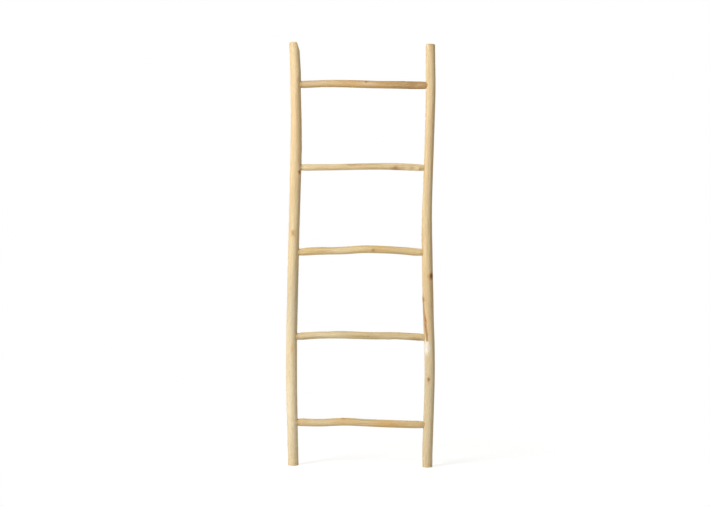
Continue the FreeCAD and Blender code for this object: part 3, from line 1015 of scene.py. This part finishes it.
def rail(name, end, seed):
    """A rail's skin, bored for its tenons and screws."""
    joints = [JOINTS[place][end] for place in PLACES]
    branch = measured_rail(name, joints)
    length = branch.end - branch.start
    last = END_DEPTHS[-1]
    inner = np.arange(last + RAIL_STEP, length - last - 1.0, RAIL_STEP)
    s = np.concatenate([END_DEPTHS, inner, (length - END_DEPTHS)[::-1]])
    grid_s, angle = s[:, None], full_turn(RAIL_COUNT)
    reach = branch.skin(s, RAIL_COUNT)
    reach = reach + peeling(grid_s, angle, seed, 1.0)
    reach = reach + pared_knots(branch, grid_s, angle, reach)
    if name == "rail_right":
        reach = reach + wound_groove(grid_s, angle, reach)
    reach = reach - inset_for(grid_s, FOOT_EASE) - inset_for(length - grid_s, TIP_EASE)
    rings = branch.place(grid_s, branch.centre(s)[:, None, :], angle, reach)
    along = branch.axes[0]
    bottom = cap_rings(rings[0], rings[0].mean(0), -1, along, seed + 5)
    top = cap_rings(rings[-1], rings[-1].mean(0), 1, along, seed + 6)
    stacked = np.stack([*bottom[::-1], *rings, *top])
    piece = add_object(name.replace("rail", "branch_rail"), tube(name + "_skin", stacked))
    cut(piece, [joint.mortise() for joint in joints])
    cut(piece, [joint.screw_hole() for joint in joints])
    if name == "rail_left":
        cut(piece, [pared_wedge(branch)])
    return branch, piece, joints


RAIL_RADIUS = 18.0  # about


def near_wound(s, angle):
    """Whether a place on the right rail is too near its wound to be measured."""
    across, half_width, _ = wound_place(s, angle, RAIL_RADIUS)
    first, last = WOUND[0, 0] - 5, WOUND[-1, 0] + 5
    return first < s < last and abs(across) < half_width + 2.5


def pared_wedge(branch):
    """The cutter of the flat on the left rail's tip."""
    start = branch.end - PARING_LENGTH
    centre = branch.centre(np.array([start]))[0]
    side = centre[0] + branch.skin(np.array([start]), RAIL_COUNT)[0, 0]
    outside, above = side + FAR, branch.end + FAR
    lean = PARING_DEPTH / PARING_LENGTH * (above - start)
    outline = [(side, start), (outside, start), (outside, above), (side - lean, above)]
    points = [(x, y, z) for y in (-FAR, FAR) for x, z in outline]
    sides = [(i, i + 4, (i + 1) % 4 + 4, (i + 1) % 4) for i in range(4)]
    return new_mesh("paring", points, [(0, 1, 2, 3), (7, 6, 5, 4), *sides])


def shoulder_of(branch, joint):
    """The x at which a rung steps out from its tenon."""
    centre = (joint.middle[2], -joint.middle[1])
    x = joint.tip - joint.outwards * 2 * TENON_CHAMFER
    while branch.reach(x, centre, 0.3) < joint.radius + 0.2:
        x -= joint.outwards * 0.1
    return x


def tenon_rings(branch, joint, angle):
    """The rings of a rung's tenon, from its tip to its shoulder."""
    centre = np.array([joint.middle[2], -joint.middle[1]])
    run = abs(joint.shoulder - joint.tip)
    straight = np.linspace(2.5, run, TENON_RINGS)
    depths = np.array([0.0, 0.4 * TENON_CHAMFER, TENON_CHAMFER, *straight])
    chamfer = [joint.radius - TENON_CHAMFER, joint.radius - 0.6 * TENON_CHAMFER]
    radii = np.array(chamfer + [joint.radius] * (TENON_RINGS + 1))
    x = joint.tip - joint.outwards * depths
    return branch.place(x[:, None], centre, angle, radii[:, None])


def rung(place, seed):
    """A rung's skin from tenon to tenon, with its screw holes."""
    name = "rung_" + place
    branch = Measured(name, RUNG_AXES)
    joints = JOINTS[place]
    for joint in joints:
        joint.shoulder = shoulder_of(branch, joint)
    left, right = (joint.shoulder for joint in joints)
    inner = np.arange(left + 12, right - 10, RUNG_STATION_STEP)
    stations = np.concatenate([left + NEAR_SHOULDER, inner, (right - NEAR_SHOULDER)[::-1]])
    branch.survey(stations, (joints[0].middle[2], -joints[0].middle[1]))

    inner = np.arange(left + 3.8, right - 3.8, RUNG_STEP)
    s = np.concatenate([left + SHOULDER_DEPTHS, inner, (right - SHOULDER_DEPTHS)[::-1]])
    grid_s, angle = s[:, None], full_turn(RUNG_COUNT)
    reach = branch.skin(s, RUNG_COUNT)
    from_shoulder = np.minimum(grid_s - left, right - grid_s)
    cuts = np.where(
        grid_s < (left + right) / 2,
        whittling(grid_s - left, angle, reach, seed + 7),
        whittling(right - grid_s, angle, reach, seed + 8),
    )
    reach = reach + cuts + eased(np.clip(from_shoulder / 14, 0, 1)) * peeling(grid_s, angle, seed, 0.75)
    reach = reach + pared_knots(branch, grid_s, angle, reach)
    rings = branch.place(grid_s, branch.centre(s)[:, None, :], angle, reach)
    first, last = (tenon_rings(branch, joint, angle) for joint in joints)
    stacked = np.concatenate([first, rings, last[::-1]])
    piece = add_object(name.replace("rung", "branch_rung"), tube(name + "_skin", stacked))
    cut(piece, [joint.screw_hole() for joint in joints])
    return branch, piece, joints


WOOD_SHARP, ZINC_SHARP = 42, 35  # degrees between faces, from which an edge is sharp


def dress_branch(branch, piece, joints, seed):
    """Materials and grain for a branch's skin, which then stands for its CAD node."""
    name = branch.node
    mark_grain(piece, branch, joints, int(seed) + 11)
    wood = wood_material(name + "_wood", PALETTES[name], seed)
    set_materials(piece, wood, end_grain_material(name + "_end_grain", PALETTES[name], seed))
    paint_ends(piece.data, branch)
    lay_out(piece, branch, joints)
    finish_mesh(piece, WOOD_SHARP)
    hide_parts(name)
    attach(piece, "root")


def paint_ends(mesh, branch):
    """Gives the sawn ends, which face along the branch, the end-grain material."""
    normals, centres = (read(mesh.polygons, name, np.float32, 3) for name in ("normal", "center"))
    facing = np.abs(normals @ branch.axes[0]) > 0.85
    s = centres @ branch.axes[0] / MM
    at_end = np.minimum(s - branch.start, branch.end - s) < 1.0
    mesh.polygons.foreach_set("material_index", (facing & at_end).astype(np.int32))


# ---- screws

THREAD_PITCH = 1.8
CORE_SHARE = 0.68  # of the outer radius, at the root of the thread
SHANK_START = 3.2  # depth at which the thread begins
SHANK_STEP = 0.16
POINT_LENGTH = 4.0
SCREW_COUNT = 36  # points round it
# The head's profile: depth, and share of the head's radius.
HEAD_PROFILE = (
    (0.0, 0.5), (0.0, 0.93), (0.05, 0.975), (0.16, 1), (HEAD_RIM, 1),
    (0.62, 0.965), (1.2, 0.79), (1.8, 0.62), (2.25, 0.51), (2.6, 0.46),
)
# An arm of the recess: half length, half width, depth, and how far its cutter stands out.
RECESS_SPAN, RECESS_WIDTH, RECESS_DEPTH, RECESS_PROUD = 1.95, 0.55, 1.55, 0.4


def screw_mesh(joint):
    """A countersunk wood screw with its thread, whose recess is still to be cut."""
    outer, length = joint.head_radius / 2, joint.screw_length
    angle = full_turn(SCREW_COUNT)
    rows = [np.full(SCREW_COUNT, share * joint.head_radius) for _, share in HEAD_PROFILE]
    shank = np.arange(SHANK_START, length - 0.05, SHANK_STEP)
    for depth in shank:
        phase = (depth / THREAD_PITCH - angle / TAU) % 1.0
        crest = np.clip(1 - np.abs(phase - 0.5) / 0.30, 0, 1) ** 1.4
        grown = np.clip((depth - SHANK_START) / 1.5, 0, 1)
        taper = np.clip((length - depth) / POINT_LENGTH, 0.04, 1)
        radius = outer * (CORE_SHARE + (0.98 - CORE_SHARE) * crest * grown + 0.12 * (1 - grown))
        rows.append(radius * taper)
    depths = np.array([*(depth for depth, _ in HEAD_PROFILE), *shank])
    radius = np.array(rows)
    x = joint.head[0] + radius * np.cos(angle)
    z = joint.head[2] - radius * np.sin(angle)
    y = joint.head[1] - depths[:, None] + 0 * x
    return tube("screw", np.stack([x, y, z], -1)[::-1])


def recess_cutter(joint, along_x):
    """One arm of the tapered cross recess."""
    points = []
    for y, long, wide in ((-RECESS_DEPTH, 0.42, 0.75), (RECESS_PROUD, 1.06, 1.03)):
        a, b = RECESS_SPAN * long, RECESS_WIDTH * wide
        if not along_x:
            a, b = b, a
        points += [joint.head + corner for corner in ((a, y, b), (-a, y, b), (-a, y, -b), (a, y, -b))]
    faces = [(0, 1, 2, 3), (7, 6, 5, 4), (0, 4, 5, 1), (1, 5, 6, 2), (2, 6, 7, 3), (3, 7, 4, 0)]
    return new_mesh("recess", points, faces)


def screw(joint, material):
    piece = add_object("zinc_" + joint.screw, screw_mesh(joint))
    cut(piece, [recess_cutter(joint, True), recess_cutter(joint, False)])
    set_materials(piece, material)
    finish_mesh(piece, ZINC_SHARP)
    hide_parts(joint.screw)
    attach(piece, "root")


# ---- assembly

rungs = [rung(place, 300 + 20 * i) for i, place in enumerate(PLACES)]  # each piece has its own seed
rails = [rail("rail_left", 0, 100), rail("rail_right", 1, 200)]
for i, (branch, piece, joints) in enumerate([*rails, *rungs]):
    dress_branch(branch, piece, joints, 10.0 * i)
zinc = zinc_material()
for place in PLACES:
    for joint in JOINTS[place]:
        screw(joint, zinc)

# ---- floor, light and camera

FLOOR_HALF = 9.0 / MM
FLOOR_LIT = 0.62  # how bright the lamps and the world alone make it
SHADOW_FULL, SHADOW_REACH = 0.3, 1.2  # metres from the ladder: its shadow fades out between them
SHADOW_SHARE = 0.35  # of the shadow's full depth
WHITE = (1, 1, 1, 1)
LAMP_COLOUR = (1.0, 1.0, 0.99)
LADDER_MIDDLE = Vector((0, 0, 0.75))
LAMPS = {  # azimuth and elevation in degrees, distance and size in metres, power in watts
    "key": (-46, 28, 7.0, 3.0, 436),
    "side": (60, 20, 4.6, 2.6, 10),
    "behind": (178, 6, 7.0, 2.8, 300),
}


def white_floor():
    """A grey floor that the camera sees as white, with part of the shadow that falls on it."""
    half = FLOOR_HALF
    square = [(-half, -half, 0), (half, -half, 0), (half, half, 0), (-half, half, 0)]
    mesh = new_mesh("floor", square, [(0, 1, 2, 3)])
    material, tree, shader = new_material("floor_white")
    set_shader(shader, (0.90, 0.90, 0.90, 1.0), 0.9, Specular_IOR_Level=0.0)
    grey = Wire(shader.outputs[0])
    white = wire(tree, "Emission", {"Color": WHITE, "Strength": 1.0})
    lift = wire(tree, "Emission", {"Color": WHITE, "Strength": 1.0 - FLOOR_LIT})
    lit = wire(tree, "AddShader", {0: grey, 1: lift})
    x, y, _ = parts_of(wire(tree, "TexCoord", output="Object"))
    away = maths("SQRT", x * x + y * y)
    shown = between(away, SHADOW_REACH, SHADOW_FULL, 0.0, SHADOW_SHARE)
    drawn = wire(tree, "MixShader", {0: shown, 1: white, 2: lit})
    seen = wire(tree, "LightPath", output="Is Camera Ray")
    mix = wire(tree, "MixShader", {0: seen, 1: grey, 2: drawn})
    output = next(n for n in tree.nodes if n.bl_idname == "ShaderNodeOutputMaterial")
    feed(output.inputs["Surface"], mix)
    mesh.materials.append(material)
    add_object("floor", mesh)


def studio_world():
    """A soft fill from all round. The camera, gloss and glass see a white backdrop."""
    world = bpy.data.worlds.new("studio")
    bpy.context.scene.world = world
    world.use_nodes = True
    tree = world.node_tree
    tree.nodes.clear()
    path = node(tree, "LightPath").outputs
    kinds = ("Is Camera Ray", "Is Glossy Ray", "Is Transmission Ray")
    camera, glossy, glass = (Wire(path[kind]) for kind in kinds)
    seen = maths("MAXIMUM", camera, maths("MAXIMUM", glossy, glass))
    fill = wire(tree, "Background", {"Color": (1.0, 0.98, 0.82, 1), "Strength": 0.24})
    white = wire(tree, "Background", {"Color": WHITE, "Strength": 1.0})
    mix = wire(tree, "MixShader", {0: seen, 1: fill, 2: white})
    feed(node(tree, "OutputWorld").inputs["Surface"], mix)


def area_light(name, azimuth, elevation, distance, size, power):
    """A soft box. Azimuth 0 stands in front of the ladder, and -90 on its left."""
    light = bpy.data.lights.new(name, "AREA")
    light.shape = "DISK"
    light.size = size
    light.energy = power
    light.color = LAMP_COLOUR
    a, e = math.radians(azimuth), math.radians(elevation)
    way = Vector((math.sin(a) * math.cos(e), -math.cos(a) * math.cos(e), math.sin(e)))
    lamp = add_object(name, light)
    lamp.location = LADDER_MIDDLE + way * distance
    lamp.rotation_euler = way.to_track_quat("Z", "Y").to_euler()
    lamp.visible_camera = False


PHOTO_WIDTH = 710
SCALE = 3.55 * MM  # metres of the ladder's plane to a pixel
CAMERA_DISTANCE = 4.5
CAMERA_AIM = Vector((-0.0241, 0.0, 0.7539))
CAMERA_ROLL = 0.7  # degrees


def photo_camera():
    data = bpy.data.cameras.new("camera")
    data.sensor_width = 36.0
    data.lens = data.sensor_width * CAMERA_DISTANCE / (PHOTO_WIDTH * SCALE)
    camera = add_object("camera", data)
    camera.location = CAMERA_AIM + Vector((0, -CAMERA_DISTANCE, 0))
    level = Vector((0, -1, 0)).to_track_quat("Z", "Y").to_matrix().to_4x4()
    camera.rotation_euler = (level @ Matrix.Rotation(math.radians(CAMERA_ROLL), 4, "Z")).to_euler()
    bpy.context.scene.camera = camera


white_floor()
studio_world()
for name, values in LAMPS.items():
    area_light(name, *values)
photo_camera()
bpy.context.scene.view_settings.view_transform = "Standard"
